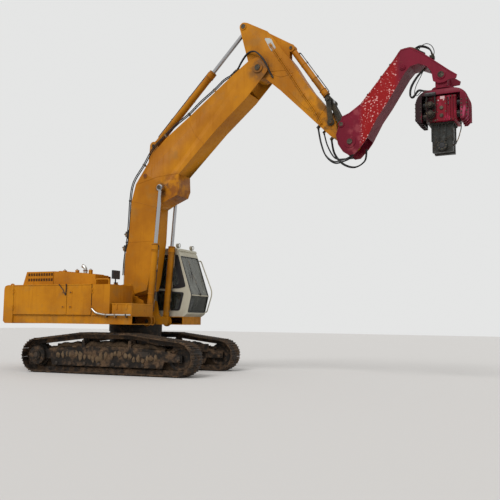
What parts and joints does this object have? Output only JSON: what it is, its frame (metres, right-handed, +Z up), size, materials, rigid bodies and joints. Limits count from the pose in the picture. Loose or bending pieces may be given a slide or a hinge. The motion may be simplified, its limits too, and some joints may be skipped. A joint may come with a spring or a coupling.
{
  "type": "pile driver rig",
  "caption": "Tracked excavator with a boom, a stick and a red gooseneck that carries a vibratory hammer with a hydraulic clamp for driving piles.",
  "frame": {"origin": "on the ground, under the middle of the whole machine's length as parked, in the boom's plane", "axes": "+X forward along the boom, +Y to the machine's left, +Z up; the tracks stand turned 6 degrees under the house"},
  "size_m": [11.27, 3.4243, 8.2227],
  "materials": {
    "frame_dark": "muddy dark paint",
    "track_steel": "worn steel shoes caked with mud",
    "roller_iron": "greasy cast iron",
    "body_paint": "sun-faded orange yellow gloss paint",
    "counterweight_paint": "orange yellow paint on a casting",
    "pipe_steel": "weathered grey steel tube",
    "engine_iron": "plain cast block",
    "black_plastic": "satin black plastic",
    "cab_paint": "cream paint",
    "cab_glass": "tinted safety glass",
    "seat_fabric": "dark seat cloth",
    "boom_paint": "golden yellow paint with dirt and scratches",
    "pipe_black": "black hydraulic pipe",
    "rod_chrome": "hard chrome rod",
    "link_steel": "greasy dark steel",
    "neck_paint": "crimson paint",
    "case_paint": "bright red paint",
    "isolator_rubber": "solid black rubber",
    "motor_iron": "black motor housing",
    "clamp_steel": "black painted steel block",
    "jaw_steel": "bare hardened steel",
    "hose_rubber": "black hydraulic hose"
  },
  "bodies": {
    "undercarriage": {"centre_frame": "frame_dark", "side_frames": "frame_dark", "track_right": "track_steel", "track_left": "track_steel", "sprockets": "roller_iron", "idlers": "roller_iron", "track_rollers": "roller_iron", "carrier_rollers": "roller_iron", "slew_ring": "roller_iron"},
    "house": {"house_deck": "body_paint", "counterweight": "counterweight_paint", "bodywork": "body_paint", "pump_cover": "body_paint", "exhaust": "pipe_steel", "engine_block": "engine_iron", "fuel_tank": "body_paint", "tool_box": "body_paint", "side_rail": "pipe_steel", "side_mirror": "black_plastic", "cab_shell": "cab_paint", "cab_glass": "cab_glass", "seat": "seat_fabric", "console": "black_plastic"},
    "cab_door": {"cab_door": "cab_paint", "door_glass": "cab_glass"},
    "side_door_rear": {"side_door_rear": "body_paint"},
    "side_door_front": {"side_door_front": "body_paint"},
    "side_door_left": {"side_door_left": "body_paint"},
    "engine_hood": {"engine_hood": "body_paint"},
    "boom": {"boom": "boom_paint", "boom_pipes": "pipe_black"},
    "boom_barrels": {"boom_barrels": "boom_paint"},
    "boom_rods": {"boom_rods": "rod_chrome"},
    "arm_barrel": {"arm_barrel": "boom_paint"},
    "arm_rod": {"arm_rod": "rod_chrome"},
    "stick": {"stick": "boom_paint", "hose_tip": "hose_rubber", "hose_loop_a": "hose_rubber", "hose_loop_b": "hose_rubber", "hose_loop_c": "hose_rubber"},
    "curl_barrel": {"curl_barrel": "boom_paint"},
    "curl_rod": {"curl_rod": "rod_chrome"},
    "rockers": {"rockers": "link_steel"},
    "curl_link": {"curl_link": "link_steel"},
    "gooseneck": {"gooseneck": "neck_paint", "neck_clamp": "link_steel", "hose_crown": "hose_rubber", "hose_head": "hose_rubber"},
    "head_yoke": {"head_yoke": "neck_paint"},
    "hammer": {"hammer_frame": "neck_paint", "exciter_case": "case_paint", "isolators": "isolator_rubber", "drive_motors": "motor_iron", "clamp_body": "clamp_steel"},
    "clamp_jaw": {"clamp_jaw": "jaw_steel"}
  },
  "joints": [
    {"name": "slew", "type": "hinge", "parent": "undercarriage", "child": "house", "pos_m": [-2.355, 0, 1], "axis": [0, 0, 1], "continuous": true},
    {"name": "boom_lift", "type": "hinge", "parent": "house", "child": "boom", "pos_m": [-2.405, 0, 1.97], "axis": [0, -1, 0], "range_deg": [-77, 4]},
    {"name": "boom_barrel_tilt", "type": "hinge", "parent": "house", "child": "boom_barrels", "pos_m": [-1.735, 0, 1.21], "axis": [0, -1, 0], "range_deg": [-74, 4]},
    {"name": "boom_rod_slide", "type": "slide", "parent": "boom_barrels", "child": "boom_rods", "axis": [0.0719, 0, 0.9974], "range_m": [-1.26, 0.07]},
    {"name": "stick_swing", "type": "hinge", "parent": "boom", "child": "stick", "pos_m": [0.995, 0, 7.04], "axis": [0, 1, 0], "range_deg": [-56, 45], "deforming": ["hose_tip"]},
    {"name": "arm_barrel_tilt", "type": "hinge", "parent": "boom", "child": "arm_barrel", "pos_m": [-1.915, 0, 5.53], "axis": [0, 1, 0], "range_deg": [-6, 5]},
    {"name": "arm_rod_slide", "type": "slide", "parent": "arm_barrel", "child": "arm_rod", "axis": [0.6931, 0, 0.7209], "range_m": [-0.96, 0.77]},
    {"name": "neck_curl", "type": "hinge", "parent": "stick", "child": "gooseneck", "pos_m": [3.175, 0, 5.09], "axis": [0, 1, 0], "range_deg": [0, 100], "deforming": ["hose_loop_a", "hose_loop_b", "hose_loop_c"]},
    {"name": "curl_barrel_tilt", "type": "hinge", "parent": "stick", "child": "curl_barrel", "pos_m": [1.735, 0, 7.46], "axis": [0, 1, 0], "range_deg": [-9, 1]},
    {"name": "curl_rod_slide", "type": "slide", "parent": "curl_barrel", "child": "curl_rod", "axis": [0.5686, 0, -0.8226], "range_m": [-0.01, 0.61]},
    {"name": "rocker_swing", "type": "hinge", "parent": "stick", "child": "rockers", "pos_m": [2.74, 0, 5.57], "axis": [0, 1, 0], "range_deg": [-1, 75]},
    {"name": "link_swing", "type": "hinge", "parent": "rockers", "child": "curl_link", "pos_m": [2.675, 0, 6.1], "axis": [0, 1, 0], "range_deg": [-81, 1]},
    {"name": "head_swing", "type": "hinge", "parent": "gooseneck", "child": "head_yoke", "pos_m": [5.105, 0, 6.29], "axis": [0, 1, 0], "range_deg": [-20, 20], "deforming": ["hose_head"]},
    {"name": "head_turn", "type": "hinge", "parent": "head_yoke", "child": "hammer", "pos_m": [5.105, 0, 6.02], "axis": [0, 0, 1], "range_deg": [-180, 180]},
    {"name": "jaw_slide", "type": "slide", "parent": "hammer", "child": "clamp_jaw", "axis": [0, 1, 0], "range_m": [-0.02, 0.045]},
    {"name": "cab_door_swing", "type": "hinge", "parent": "house", "child": "cab_door", "pos_m": [-2.472, 1.391, 2], "axis": [0, 0, 1], "range_deg": [0, 150]},
    {"name": "rear_door_swing", "type": "hinge", "parent": "house", "child": "side_door_rear", "pos_m": [-5.019, -1.391, 1.7], "axis": [0, 0, -1], "range_deg": [0, 110]},
    {"name": "front_door_swing", "type": "hinge", "parent": "house", "child": "side_door_front", "pos_m": [-2.645, -1.391, 1.7], "axis": [0, 0, 1], "range_deg": [0, 110]},
    {"name": "left_door_swing", "type": "hinge", "parent": "house", "child": "side_door_left", "pos_m": [-5.019, 1.391, 1.7], "axis": [0, 0, 1], "range_deg": [0, 110]},
    {"name": "hood_lift", "type": "hinge", "parent": "house", "child": "engine_hood", "pos_m": [-4.165, 0, 2.411], "axis": [0, 1, 0], "range_deg": [0, 60]}
  ],
  "couplings": [
    {"joint": "boom_barrel_tilt", "follows": "boom_lift", "ratio": 0.95},
    {"joint": "boom_rod_slide", "follows": "boom_lift", "m_per_rad": 0.93},
    {"joint": "arm_barrel_tilt", "follows": "stick_swing", "ratio": 0.09},
    {"joint": "arm_rod_slide", "follows": "stick_swing", "m_per_rad": 0.97},
    {"joint": "curl_barrel_tilt", "follows": "neck_curl", "ratio": -0.08},
    {"joint": "curl_rod_slide", "follows": "neck_curl", "m_per_rad": 0.34},
    {"joint": "rocker_swing", "follows": "neck_curl", "ratio": 0.74},
    {"joint": "link_swing", "follows": "neck_curl", "ratio": -0.794}
  ]
}
